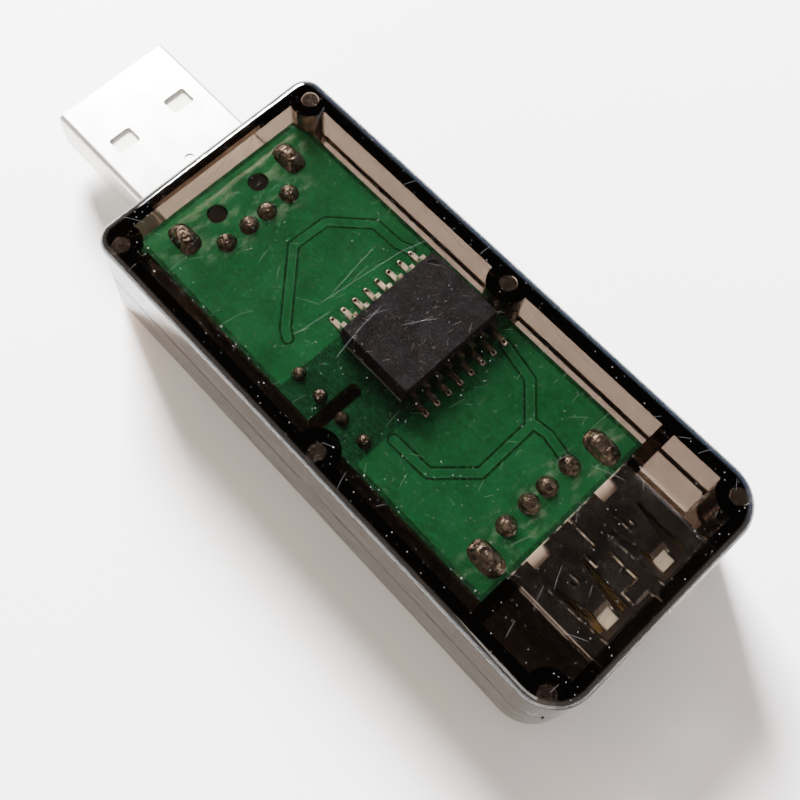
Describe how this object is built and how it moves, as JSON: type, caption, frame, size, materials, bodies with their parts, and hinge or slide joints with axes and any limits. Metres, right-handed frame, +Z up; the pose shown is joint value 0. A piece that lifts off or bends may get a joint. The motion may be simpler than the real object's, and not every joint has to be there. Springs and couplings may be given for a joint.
{
  "type": "usb isolator",
  "caption": "Dongle in a smoked clear case with a plug at one end and a sunk socket at the other, joined by an isolated circuit board.",
  "frame": {"origin": "middle of the base, under the middle of case and plug together", "axes": "+X from the plug to the socket along the case, +Z up from the table through the cover"},
  "size_m": [0.0656, 0.0238, 0.0118],
  "materials": {
    "top_cover": "smoked clear, glossy",
    "bottom_shell": "smoked clear, glossy",
    "board": "green solder mask, satin",
    "chip": "matt black moulding",
    "tinned_lead": "tinned",
    "plug_metal": "nickel plated",
    "socket_metal": "nickel plated, seen through the cover",
    "contact_carrier": "white moulding",
    "plug_carrier": "black moulding",
    "contact_metal": "gold plated",
    "converter": "black block",
    "solder": "bright solder",
    "resistor": "black",
    "capacitor": "tan ceramic"
  },
  "bodies": {
    "root": {"bottom_shell": "bottom_shell", "capacitor_1": "capacitor", "capacitor_2": "capacitor", "capacitor_3": "capacitor", "chip_lead_1": "tinned_lead", "chip_lead_10": "tinned_lead", "chip_lead_11": "tinned_lead", "chip_lead_12": "tinned_lead", "chip_lead_13": "tinned_lead", "chip_lead_14": "tinned_lead", "chip_lead_15": "tinned_lead", "chip_lead_16": "tinned_lead", "chip_lead_2": "tinned_lead", "chip_lead_3": "tinned_lead", "chip_lead_4": "tinned_lead", "chip_lead_5": "tinned_lead", "chip_lead_6": "tinned_lead", "chip_lead_7": "tinned_lead", "chip_lead_8": "tinned_lead", "chip_lead_9": "tinned_lead", "circuit_board": "board", "converter_body": "converter", "converter_pin_1": "tinned_lead", "converter_pin_2": "tinned_lead", "converter_pin_3": "tinned_lead", "converter_pin_4": "tinned_lead", "converter_solder": "solder", "isolator_chip": "chip", "plug_contact_1": "contact_metal", "plug_contact_2": "contact_metal", "plug_contact_3": "contact_metal", "plug_contact_4": "contact_metal", "plug_insulator": "plug_carrier", "plug_pin_solder": "solder", "plug_shell": "plug_metal", "plug_tab_solder": "solder", "resistor_1": "resistor", "resistor_2": "resistor", "resistor_3": "resistor", "resistor_4": "resistor", "socket_contact_1": "contact_metal", "socket_contact_2": "contact_metal", "socket_contact_3": "contact_metal", "socket_contact_4": "contact_metal", "socket_insulator": "contact_carrier", "socket_pin_solder": "solder", "socket_shell": "socket_metal", "socket_tab_solder": "solder", "top_cover": "top_cover"}
  },
  "joints": []
}
